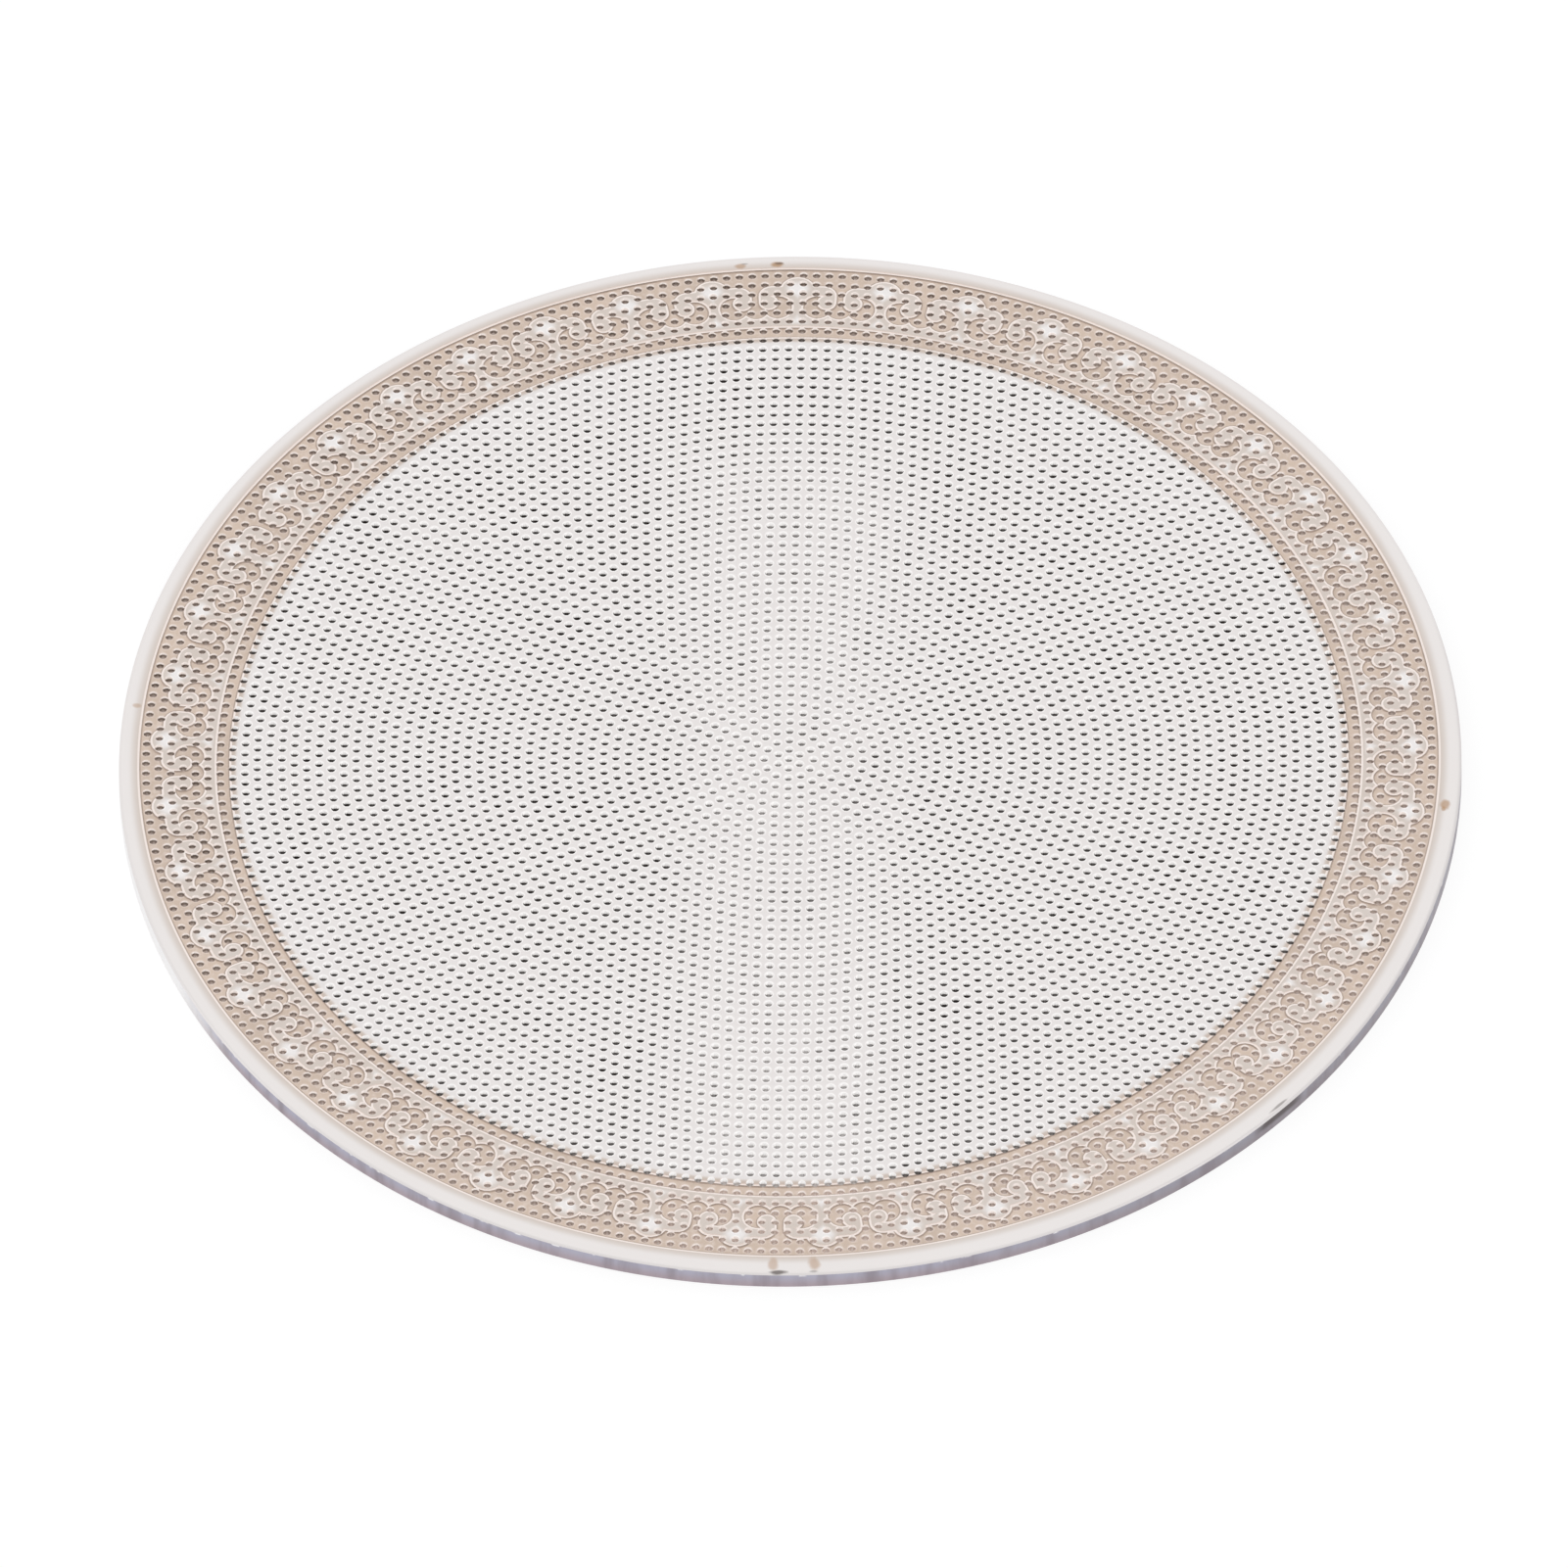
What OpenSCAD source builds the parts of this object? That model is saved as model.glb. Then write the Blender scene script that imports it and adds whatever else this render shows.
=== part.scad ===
// Perforated filter disc: one flat piece of etched stainless sheet.
// A plain rim, a half-etched border with a raised scroll ornament, a narrow
// etched groove and a field of fine holes set in concentric rings.
// Units are millimetres. The disc lies flat, underside on z = 0, etched face up.

/* [Disc] */
// Outside diameter of the disc
disc_d = 51; // [48:0.5:56]
// Thickness of the sheet
sheet_t = 0.75; // [0.5:0.05:1.2]
// Softened corner round the outside edge, top and bottom
edge_soft = 0.05; // [0.03:0.01:0.16]

/* [Perforation] */
// Distance from one ring of holes to the next
ring_pitch = 0.4696; // [0.46:0.0001:0.52]
// Distance from one hole to the next along a ring
hole_pitch = 0.48975; // [0.48:0.00005:0.56]
// Diameter of a hole
hole_d = 0.31; // [0.24:0.01:0.36]
// Share of the pattern that is drilled: every so many rings, and holes in a ring
drill_every = 8; // [8:1:15]
// Plain metal left between the last ring of holes and the groove
field_margin = 0.06; // [0.04:0.01:0.3]

/* [Border] */
// Depth of the half-etched areas
etch_depth = 0.05; // [0.03:0.01:0.3]
// Width of the plain rim
rim_w = 0.78; // [0.4:0.02:1.2]
// Width of the etched border, from the rim to the foot of the ornament
border_w = 2.54; // [2.3:0.02:3]
// Width of the raised base ring under the ornament
base_w = 0.4; // [0.3:0.02:0.8]
// Width of the etched groove inside the base ring
groove_w = 0.56; // [0.3:0.02:0.9]
// How far the etched pattern and the holes sit off the disc's centre, along x and y
pattern_x = -0.05; // [-0.2:0.01:0.2]
pattern_y = 0.14; // [-0.2:0.01:0.2]

/* [Ornament] */
// Number of ornaments round the border
motif_count = 45; // [40:1:50]
// Turn of the ornament from the first ray of holes, in degrees
motif_turn = 0.5; // [-4:0.1:4]
// Width of the stem at its waist
stem_w = 0.36; // [0.24:0.02:0.5]
// Radius of the round bay on each side of the stem
bay_r = 0.6; // [0.54:0.01:0.66]
// Thickness of the arms over the bays
arm_t = 0.44; // [0.34:0.02:0.54]
// Radius of the shoulder at the end of an arm
shoulder_r = 0.47; // [0.4:0.01:0.54]
// Radius of the scroll that an arm turns down into
scroll_r = 0.34; // [0.28:0.01:0.4]
// Height of the centre of a scroll above the foot
scroll_y = 0.85; // [0.78:0.01:0.92]
// Gap between neighbouring scrolls
scroll_gap = 0.34; // [0.24:0.02:0.5]
// Radius of the domed head
dome_r = 0.64; // [0.54:0.01:0.72]
// Height of the centre of the domed head above the foot
dome_y = 1.44; // [1.34:0.01:1.52]

/* [Hidden] */

// Overlap that lets a cut pass cleanly through a face
clear = 0.5;
// Overlap between two shapes of the ornament that run into each other
blend = 0.02;
// Angle of the first ray of holes
start_a = 90;

// Zone radii, from the outside in
disc_r = disc_d / 2;
border_r = disc_r - rim_w;
foot_r = border_r - border_w;
groove_r = foot_r - base_w;
field_r = groove_r - groove_w;

// Ornament: x runs along the border, y outwards from the foot
motif_step = 360 / motif_count;
half_step = PI * (foot_r + border_w / 2) / motif_count;
bay_x = stem_w / 2 + bay_r;
// Radius of the smaller bay midway between two stems
mid_bay_r = 0.9 * bay_r;
arm_top = 2 * bay_r + arm_t;
arm_reach = half_step - scroll_gap / 2;
shoulder_x = arm_reach - shoulder_r;
shoulder_y = arm_top - shoulder_r;
scroll_x = arm_reach - scroll_r;

// Rings of holes that fit in the field
last_ring = floor((field_r - field_margin - hole_d / 2) / ring_pitch);

function holes_in_ring(k) = floor(2 * PI * ring_pitch * k / hole_pitch);

// Plain disc with softened corners
module blank() {
    rotate_extrude()
        polygon([
            [0, 0], [disc_r - edge_soft, 0], [disc_r, edge_soft],
            [disc_r, sheet_t - edge_soft], [disc_r - edge_soft, sheet_t],
            [0, sheet_t]]);
}

// Sinks an outline into the top face to the depth of the etching
module etched() {
    translate([0, 0, sheet_t - etch_depth])
        linear_extrude(etch_depth + clear)
            children();
}

// Round bay that stands on the foot of the ornament
module bay(x, r) {
    translate([x, foot_r + r])
        circle(r = r);
}

// The bays on both sides of a stem
module stem_bays() {
    for (side = [-1, 1])
        bay(side * bay_x, bay_r);
}

// Upper stem and arms with round shoulders, arched over the bays
module arms() {
    difference() {
        union() {
            translate([-shoulder_x, foot_r + bay_r - blend])
                square([2 * shoulder_x, arm_top - bay_r + blend]);
            for (side = [-1, 1])
                translate([side * shoulder_x, foot_r + shoulder_y])
                    circle(r = shoulder_r);
        }
        stem_bays();
    }
}

// Scroll at the end of the right arm: it turns down and ends round
module scroll() {
    translate([scroll_x, foot_r + scroll_y]) {
        circle(r = scroll_r);
        square([scroll_r - blend / 4, shoulder_y - scroll_y]);
    }
}

// Stem, arms, scrolls and domed head of one ornament
module motif() {
    arms();
    translate([0, foot_r + dome_y])
        circle(r = dome_r);
    for (side = [0, 1])
        mirror([side, 0])
            scroll();
}

// Places a shape of the ornament at each step round the border
module round_border(turn = 0) {
    for (i = [0:motif_count - 1])
        rotate(start_a - 90 + motif_turn + turn + i * motif_step)
            children();
}

// Base ring and lower stems: its edge is scalloped by three bays from stem to stem
module base_ring() {
    difference() {
        circle(r = foot_r + bay_r);
        round_border() stem_bays();
        round_border(motif_step / 2) bay(0, mid_bay_r);
    }
}

// Etched ground of the border, round the ornament
module border_ground() {
    difference() {
        circle(r = border_r);
        base_ring();
        round_border() motif();
    }
}

// Narrow etched groove between the base ring and the field
module groove() {
    difference() {
        circle(r = groove_r);
        circle(r = field_r);
    }
}

// One hole through the sheet
module hole() {
    translate([0, 0, -clear])
        cylinder(h = sheet_t + 2 * clear, d = hole_d);
}

// Holes of the drilled rings, each ring starting on the first ray
module perforation() {
    hole();
    for (k = [drill_every:drill_every:last_ring])
        let (n = holes_in_ring(k))
            for (i = [0:floor(n / drill_every) - 1])
                rotate(start_a + i * drill_every * 360 / n)
                    translate([k * ring_pitch, 0, 0])
                        hole();
}

module filter_disc() {
    color("gainsboro")
        difference() {
            blank();
            translate([pattern_x, pattern_y, 0]) {
                etched() border_ground();
                etched() groove();
                perforation();
            }
        }
}

filter_disc();
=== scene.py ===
"""Perforated filter disc: etched stainless sheet with a scroll border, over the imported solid."""
import math
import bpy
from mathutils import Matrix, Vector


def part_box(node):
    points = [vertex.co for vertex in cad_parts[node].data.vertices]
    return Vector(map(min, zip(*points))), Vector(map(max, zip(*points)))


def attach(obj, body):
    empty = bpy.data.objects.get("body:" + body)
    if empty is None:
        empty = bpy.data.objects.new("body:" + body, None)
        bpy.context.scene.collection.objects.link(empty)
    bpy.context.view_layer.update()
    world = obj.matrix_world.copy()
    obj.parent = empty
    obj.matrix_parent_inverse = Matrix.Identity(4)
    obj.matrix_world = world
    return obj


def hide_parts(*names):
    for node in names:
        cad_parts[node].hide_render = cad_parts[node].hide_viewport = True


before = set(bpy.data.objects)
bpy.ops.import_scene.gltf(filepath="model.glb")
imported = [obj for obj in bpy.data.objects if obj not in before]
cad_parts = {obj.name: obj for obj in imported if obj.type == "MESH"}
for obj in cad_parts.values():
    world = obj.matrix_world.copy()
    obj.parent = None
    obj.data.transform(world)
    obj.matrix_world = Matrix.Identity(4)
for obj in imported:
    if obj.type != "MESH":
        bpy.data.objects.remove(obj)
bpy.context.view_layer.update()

from types import SimpleNamespace

import bpy
from bpy.props import FloatProperty, FloatVectorProperty, IntProperty, PointerProperty
from mathutils import Matrix, Vector

bl_info = {
    "name": "Perforated Filter Disc",
    "version": (1, 0, 0),
    "blender": (4, 5, 0),
    "location": "View3D > Sidebar > Filter Disc",
    "description": "Builds an etched and perforated steel filter disc",
    "category": "Object",
}

NODE = "filter_disc"
BODY = "root"
MM = 0.001
LOW, HIGH = (Vector(corner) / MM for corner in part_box(NODE))

# Rings of holes carried by each piece of the sheet, from the centre out
FIELD_ZONES = [("field_centre", 0, 27), ("field_middle", 28, 37), ("field_outer", 38, 44)]
GROOVE_ZONE = ("etched_groove", 45, 46)
BORDER_ZONE = ("etched_border", 47, 52)
CENTRE = (0, 0)
FULL_TURN = 2 * math.pi
# Straight pieces in a circle of the sheet, and the most that an arc of the ornament turns in one
CIRCLE_STEPS = 360
CURVE_STEP = math.radians(18)
# Radius of the bay midway between two stems, as a share of the bays beside a stem
MID_BAY_SHARE = 0.9
# Steps of an etched edge, from the deepest up
ETCHINGS = ("Ground", "Cove", "Ledge")
# Gaps in millimetres that close when the faces of a cutter, or its ornaments, are joined
WELD, SEAM = 0.0005, 0.002

# A face counts as flat when its normal points up or down by more than this
FLAT = 0.5
# A wall belongs to a step of the etching when it reaches no deeper than this share of its depth
STEP_SLACK = 1.2

# Noise in the finishes, in cells per metre
SATIN_CLOUDS, SATIN_GRAIN = 160, 2600
GROUND_CLOUDS, GROUND_GRAIN = 420, 5200
LEDGE_GRAIN, COVE_GRAIN = 1800, 2400
WALL_SHADE_NOISE, WALL_PATCHES, WALL_CLUSTERS = 900, 130, 520
SIDE_STREAKS = 1500

# Ranges in millimetres over which a finish changes smoothly: x runs to the right, y to the back
# Holes, painted light: paler towards the front and the right, and beside the middle line up to an
# end at the back
PALE_FRONT, PALE_RIGHT, PALE_MIDDLE, PALE_END = (-22, -4), (-4, 20), (1.5, 6.5), (13, 18)
# Corner of the rim, painted shade: darker at the front, and at the right up to an end at the back
CORNER_FRONT, CORNER_RIGHT, CORNER_END = (-14, 2), (4, 22), (2, 10)
# Outside edge: darker at the right with painted shade, and pale at the left up to an end at the back
# with a painted highlight
SIDE_RIGHT, SIDE_LEFT, SIDE_END = (2, 20), (-23.2, -20.5), (4, 12)
# Heights on the outside edge: its upper colour, the painted glints along its top and its smudge
SIDE_RISE, GLINT_RISE, SMUDGE_RISE = (0.1, 0.65), (0.6, 0.68), (0.25, 0.5)
# Ornament: white this far from its bays, and at its foot this near the stem's middle and this low
WHITE_OFF_BAY, WHITE_STEM, WHITE_LOW = (0.17, 0.46), (0.3, 0.65), (0.1, 0.5)

# Marks on the rim where the sheet was cut from its frame: degrees from 12 o'clock, then in
# millimetres half width, distance outside the border and half height, then colour and strength
TAB_MARKS = [(-5.6, 0.26, 0.2, 0.15, "heat", 0.6), (-5.2, 0.16, 0.3, 0.05, "soot", 0.4),
             (-2.35, 0.28, 0.2, 0.17, "heat", 0.8), (-2.2, 0.2, 0.26, 0.07, "soot", 0.6),
             (94.4, 0.3, 0.33, 0.22, "heat", 0.7), (94.9, 0.14, 0.27, 0.1, "heat", 0.6),
             (176.5, 0.26, 0.42, 0.4, "heat", 0.55), (176.6, 0.2, 0.78, 0.08, "soot", 0.4),
             (180.0, 0.24, 0.4, 0.42, "heat", 0.5), (179.6, 0.42, 0.8, 0.12, "soot", 0.8),
             (275.4, 0.14, 0.25, 0.2, "heat", 0.45), (131.9, 0.55, 0.72, 0.07, "soot", 0.55)]
# Place of the dark smudge on the outside edge, in millimetres
SMUDGE_X, SMUDGE_Y = 18.9, -17.1

# Floor, in metres: its half width and its gap under the disc
FLOOR_HALF, FLOOR_GAP = 2.0, 2e-5
# Floor: its white, the strength of its glow, and the glow's share where it is seen directly
FLOOR_WHITE, FLOOR_GLOW, GLOW_SHARE = 0.93, 1.08, 0.8
# Lamps: name, place and width in metres, share of the key light's power
LAMPS = (("key_lamp", (-0.4, 0.1, 0.35), 0.3, 1.0), ("side_lamp", (0.45, -0.15, 0.35), 0.3, 0.5))
# Camera: width of its sensor in millimetres, and how far it sees in metres
SENSOR_W, CLIP_END = 36.0, 20


def size(name, about, default, least=0.01):
    """A length that a user may change, given here in millimetres."""
    return FloatProperty(name=name, description=about, default=default * MM, min=least * MM,
                         unit="LENGTH", precision=5)


def in_mm(group):
    """The group's values, with its lengths in millimetres."""
    values = {}
    for name, prop in group.bl_rna.properties.items():
        if prop.type in ("INT", "FLOAT"):
            value = getattr(group, name)
            scale = 1 / MM if prop.type == "FLOAT" and prop.unit == "LENGTH" else 1
            values[name] = [part * scale for part in value] if prop.is_array else value * scale
    return SimpleNamespace(**values)


def tint(name, about, default):
    """A linear colour that a user may change."""
    return FloatVectorProperty(name=name, description=about, default=default,
                               subtype="COLOR", size=3, min=0, max=1)


class DiscSizes(bpy.types.PropertyGroup):
    """Sizes of the sheet, its holes and its etched zones."""
    disc_d: size("Diameter", "Outside diameter of the disc",
                 2 * min(-LOW.x, HIGH.x, -LOW.y, HIGH.y), 10)
    sheet_t: size("Thickness", "Thickness of the sheet", HIGH.z - LOW.z, 0.1)
    edge_soft: size("Edge softening", "Softened corner at the outside edge", 0.05)
    ring_pitch: size("Ring pitch", "Distance between rings of holes", 0.4696, 0.3)
    ring_holes: IntProperty(name="Holes per ring", default=6, min=1,
                            description="Holes that a ring has more than the ring inside it")
    hole_d: size("Hole diameter", "Diameter of a hole", 0.31, 0.1)
    hole_sides: IntProperty(name="Hole sides", description="Sides of a hole's wall",
                            default=10, min=6, max=16)
    etch_depth: size("Etch depth", "Depth of the half-etched ground", 0.05, 0.02)
    # The ledge is a real step; its bright colour is a painted highlight
    ledge_depth: size("Ledge depth", "Depth of the bright ledge along an etched edge", 0.02)
    ledge_w: size("Ledge width", "Width of the bright ledge along an etched edge", 0.08)
    # The cove is a real step; its dark colour is a painted shadow
    cove_depth: size("Cove depth", "Depth of the dark cove at the foot of an etched edge", 0.04)
    cove_w: size("Cove width", "Width of the dark cove at the foot of an etched edge", 0.05)
    rim_w: size("Rim width", "Width of the plain rim", 0.78, 0.1)
    border_w: size("Border width", "Width of the etched border", 2.54, 1)
    base_w: size("Base ring width", "Width of the raised base ring", 0.4, 0.1)
    groove_w: size("Groove width", "Width of the groove inside the base ring", 0.56, 0.1)
    pattern: FloatVectorProperty(name="Pattern offset", size=2, unit="LENGTH", precision=5,
                                 description="Place of the etched pattern's centre on the disc",
                                 default=(-0.05 * MM, 0.14 * MM))


class OrnamentSizes(bpy.types.PropertyGroup):
    """Sizes of one ornament; heights run outwards from its foot."""
    count: IntProperty(name="Count", description="Ornaments round the border", default=45, min=3)
    turn: FloatProperty(name="Turn", description="Turn from the first ray of holes",
                        default=math.radians(0.5), subtype="ANGLE")
    stem_w: size("Stem width", "Width of the stem at its waist", 0.36)
    bay_r: size("Bay radius", "Radius of the round bay on each side of the stem", 0.6)
    arm_t: size("Arm thickness", "Thickness of the arms over the bays", 0.44)
    shoulder_r: size("Shoulder radius", "Radius of the shoulder at the end of an arm", 0.47)
    scroll_r: size("Scroll radius", "Radius of the scroll that an arm turns down into", 0.34)
    scroll_y: size("Scroll height", "Height of the centre of a scroll", 0.85)
    scroll_gap: size("Scroll gap", "Gap between neighbouring scrolls", 0.34)
    dome_r: size("Dome radius", "Radius of the domed head", 0.64)
    dome_y: size("Dome height", "Height of the centre of the domed head", 1.44)


class DiscFinishes(bpy.types.PropertyGroup):
    """Colours of the steel's finishes."""
    satin: tint("Satin steel", "Untouched face of the sheet", (0.81, 0.775, 0.765))
    raised: tint("Raised ornament", "Raised ornament and base ring", (0.625, 0.54, 0.478))
    ground: tint("Etched ground", "Half-etched ground of the border", (0.70, 0.572, 0.48))
    # Painted highlight: the etched edge, the mouth of a hole in the ground and the speckle and halo
    # on the ground
    ledge: tint("Etched edge", "Bright edge round an etched area", (0.915, 0.83, 0.785))
    # Painted shadow at the foot of an etched edge and along the groove's inner edge
    cove: tint("Etched cove", "Dark cove at the foot of an etched edge", (0.54, 0.435, 0.37))
    # Painted highlight at the mouth of a hole and round the holes
    lip: tint("Hole lip", "Rounded mouth of a hole", (0.97, 0.95, 0.94))
    # Painted shade deep in the holes of the field and of the etched ground
    wall: tint("Hole wall", "Deep part of a hole's wall", (0.112, 0.09, 0.08))
    etched_wall_shade: tint("Etched hole wall", "Deep part of a hole in the ground", (0.36, 0.30, 0.26))
    side: tint("Cut edge", "Lower part of the sheet's outside edge", (0.44, 0.37, 0.41))
    side_top: tint("Cut edge, top", "Upper part of the sheet's outside edge", (0.45, 0.44, 0.53))
    # Painted shade on the outside edge at the right and at the rim's outside corner
    side_shade: tint("Cut edge, dark", "Darker stretch of the outside edge", (0.26, 0.25, 0.27))
    # Painted highlight: the pale stretch at the left of the outside edge and the glints along its top
    side_highlight: tint("Cut edge, pale", "Pale stretch of the outside edge", (0.93, 0.92, 0.92))
    heat: tint("Heat mark", "Brown tint at the cut tabs", (0.46, 0.27, 0.14))
    soot: tint("Soot", "Dark spots at the cut tabs", (0.10, 0.08, 0.075))


class StageSettings(bpy.types.PropertyGroup):
    """Camera and light."""
    azimuth: FloatProperty(name="Azimuth", description="Camera's turn round the disc",
                           default=math.radians(2.06), subtype="ANGLE")
    elevation: FloatProperty(name="Elevation", description="Camera's height above the floor",
                             default=math.radians(49.37), subtype="ANGLE")
    roll: FloatProperty(name="Roll", description="Camera's roll",
                        default=math.radians(-0.959), subtype="ANGLE")
    distance: FloatProperty(name="Distance", description="Camera's distance from its target",
                            default=2.604, unit="LENGTH")
    lens: FloatProperty(name="Lens", description="Focal length", default=1574.9, unit="CAMERA")
    aim: FloatVectorProperty(name="Aim", size=2, unit="LENGTH", precision=5,
                             description="Target on the face, to the camera's right and forward",
                             default=(-0.247 * MM, -1.093 * MM))
    key: FloatProperty(name="Key light", description="Power of the key lamp",
                       default=0.22, unit="POWER")
    fill: FloatProperty(name="Fill", description="Strength of the light from all round",
                        default=0.75)


# Node graphs

class Graph:
    """Makes the nodes of one tree."""

    def __init__(self, tree):
        self.tree = tree

    def add(self, kind, settings=None, values=None, out=0):
        """One output of a new node with these settings and these socket values or links."""
        node = self.tree.nodes.new(kind)
        for name, value in (settings or {}).items():
            setattr(node, name, value)
        for key, value in (values or {}).items():
            for item in value if isinstance(value, list) else [value]:
                self.set(node.inputs[key], item)
        return Value(self, node.outputs[out]) if node.outputs else node

    def set(self, socket, value):
        """Links a wrapped socket, or writes a plain value."""
        if isinstance(value, Value):
            self.tree.links.new(value.socket, socket)
        else:
            socket.default_value = value

    def math(self, operation, *values):
        """The result of one operation on sockets and numbers."""
        return self.add("ShaderNodeMath", {"operation": operation}, dict(enumerate(values)))

    def length(self, a, b):
        """Length of the flat vector (a, b)."""
        return self.math("SQRT", a * a + b * b)

    def mix(self, factor, a, b):
        """Colour a where the factor is 0, colour b where it is 1."""
        a, b = (c if isinstance(c, Value) else (*c, 1) for c in (a, b))
        return self.add("ShaderNodeMix", {"data_type": "RGBA", "clamp_factor": True},
                        {0: factor, 6: a, 7: b}, out=2)

    def ramp(self, value, low, high):
        """0 below low, 1 above high, and smooth between."""
        return self.add("ShaderNodeMapRange", {"interpolation_type": "SMOOTHSTEP"},
                        {"Value": value, "From Min": low, "From Max": high})


class Value:
    """A socket that takes part in Python sums."""

    def __init__(self, graph, socket):
        self.graph, self.socket = graph, socket

    def __add__(self, other):
        return self.graph.math("ADD", self, other)

    def __sub__(self, other):
        return self.graph.math("SUBTRACT", self, other)

    def __rsub__(self, other):
        return self.graph.math("SUBTRACT", other, self)

    def __mul__(self, other):
        return self.graph.math("MULTIPLY", self, other)

    def __truediv__(self, other):
        return self.graph.math("DIVIDE", self, other)

    def __rtruediv__(self, other):
        return self.graph.math("DIVIDE", other, self)

    __radd__, __rmul__ = __add__, __mul__

    def out(self, key):
        """Another output of the same node."""
        return Value(self.graph, self.socket.node.outputs[key])


# Etched zones

def zone_radii(disc):
    """Radii of the border's outside, the ornament's foot, and the groove's outside and inside."""
    border = disc.disc_d / 2 - disc.rim_w
    foot = border - disc.border_w
    groove = foot - disc.base_w
    return border, foot, groove, groove - disc.groove_w


def arc(centre, r, start, end):
    """Points along an arc."""
    steps = max(1, math.ceil(abs(end - start) / CURVE_STEP))
    turns = [start + (end - start) * i / steps for i in range(steps + 1)]
    return [(centre.x + r * math.cos(t), centre.y + r * math.sin(t)) for t in turns]


def crossing(a, a_r, b, b_r, side):
    """Angles about a and about b of the point where two circles cross.

    The point is the one on the left (side 1) or on the right (side -1) of the way from a to b.
    """
    gap = (b - a).length
    way = math.atan2(b.y - a.y, b.x - a.x)
    at_a = side * math.acos((gap * gap + a_r * a_r - b_r * b_r) / (2 * gap * a_r))
    at_b = side * math.acos((gap * gap + b_r * b_r - a_r * a_r) / (2 * gap * b_r))
    return way + at_a, way + math.pi - at_b


def motif_outline(disc, motif, grow):
    """Outline of one ornament and its share of the base ring, grown by so much, on the +Y ray."""
    foot = zone_radii(disc)[1]
    middle = foot + disc.border_w / 2
    half_step = math.pi * middle / motif.count
    top = 2 * motif.bay_r + motif.arm_t
    reach = half_step - motif.scroll_gap / 2
    bay = Vector((motif.stem_w / 2 + motif.bay_r, motif.bay_r))
    mid_bay = Vector((half_step, MID_BAY_SHARE * motif.bay_r))
    scroll = Vector((reach - motif.scroll_r, motif.scroll_y))
    shoulder = Vector((reach - motif.shoulder_r, top - motif.shoulder_r))
    dome = Vector((0, motif.dome_y))
    bay_r, mid_r = motif.bay_r - grow, mid_bay.y - grow
    scroll_r, dome_r = motif.scroll_r + grow, motif.dome_r + grow
    peak, mid_peak = crossing(bay, bay_r, mid_bay, mid_r, -1)
    notch, scroll_notch = crossing(bay, bay_r, scroll, scroll_r, 1)
    half = (arc(mid_bay, mid_r, 0.75 * FULL_TURN, mid_peak)
            + arc(bay, bay_r, peak, notch - FULL_TURN)[1:]
            + arc(scroll, scroll_r, scroll_notch, FULL_TURN)[1:]
            + arc(shoulder, motif.shoulder_r + grow, 0, FULL_TURN / 4)
            + arc(dome, dome_r, math.asin((top + grow - dome.y) / dome_r), FULL_TURN / 4))
    whole = half + [(-x, y) for x, y in reversed(half[:-1])]
    return [((foot + y) * math.sin(x / middle), (foot + y) * math.cos(x / middle), 0.0)
            for x, y in whole]


def mesh_object(name, points, edges=(), faces=()):
    """A plain object in the scene from points, edges and faces."""
    mesh = bpy.data.meshes.new(name)
    mesh.from_pydata(points, edges, faces)
    obj = bpy.data.objects.new(name, mesh)
    bpy.context.scene.collection.objects.link(obj)
    return obj


def delete(obj):
    """Deletes an object and its mesh."""
    mesh = obj.data
    bpy.data.objects.remove(obj)
    bpy.data.meshes.remove(mesh)


def turned(name, profile):
    """A closed ring or disc, in millimetres.

    Its circles of (radius, height, centre) run up its outside and down its inside.
    """
    points, faces, rows = [], [], []
    for radius, height, (x, y) in profile:
        if radius == 0:
            rows.append([len(points)] * CIRCLE_STEPS)
            points.append((x, y, height))
            continue
        rows.append(list(range(len(points), len(points) + CIRCLE_STEPS)))
        turns = [FULL_TURN * i / CIRCLE_STEPS for i in range(CIRCLE_STEPS)]
        points += [(x + radius * math.cos(t), y + radius * math.sin(t), height) for t in turns]
    for a, b in zip(rows, rows[1:] + rows[:1]):
        for i in range(CIRCLE_STEPS):
            j = (i + 1) % CIRCLE_STEPS
            loop = list(dict.fromkeys([a[i], a[j], b[j], b[i]]))
            if len(loop) > 2:
                faces.append(loop)
    return mesh_object(name, points, faces=faces)


def new_tree(name, inputs):
    """An empty geometry tree with these inputs, its graph and its input sockets by name."""
    tree = bpy.data.node_groups.new(name, "GeometryNodeTree")
    tree.is_modifier = True
    tree.interface.new_socket("Geometry", in_out="INPUT", socket_type="NodeSocketGeometry")
    for label, kind in inputs.items():
        tree.interface.new_socket(label, in_out="INPUT", socket_type="NodeSocket" + kind)
    tree.interface.new_socket("Geometry", in_out="OUTPUT", socket_type="NodeSocketGeometry")
    graph = Graph(tree)
    first = graph.add("NodeGroupInput")
    return tree, graph, {label: first.out(label) for label in ["Geometry", *inputs]}


def finished(graph, geometry, material):
    """Ends a tree: real geometry with its material."""
    whole = graph.add("GeometryNodeRealizeInstances", values={0: geometry})
    graph.add("NodeGroupOutput", values={0: graph.add("GeometryNodeSetMaterial", values={
        "Geometry": whole, "Material": material})})


def filled(graph, curves, floor, height):
    """A closed solid from flat closed curves: filled, raised by height and set on the floor."""
    flat = graph.add("GeometryNodeFillCurve", {"mode": "TRIANGLES"},
                     {"Curve": graph.add("GeometryNodeJoinGeometry", values={0: curves})})
    raised = graph.add("GeometryNodeExtrudeMesh", {"mode": "FACES"}, {
        "Mesh": flat, "Offset": (0, 0, 1), "Offset Scale": height, "Individual": False})
    under = graph.add("GeometryNodeFlipFaces", values={"Mesh": flat})
    solid = graph.add("GeometryNodeMergeByDistance", values={
        "Geometry": graph.add("GeometryNodeJoinGeometry", values={0: [raised, under]}),
        "Distance": WELD})
    place = graph.add("ShaderNodeCombineXYZ", values={"Z": floor})
    return graph.add("GeometryNodeTransform", values={"Geometry": solid, "Translation": place})


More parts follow.
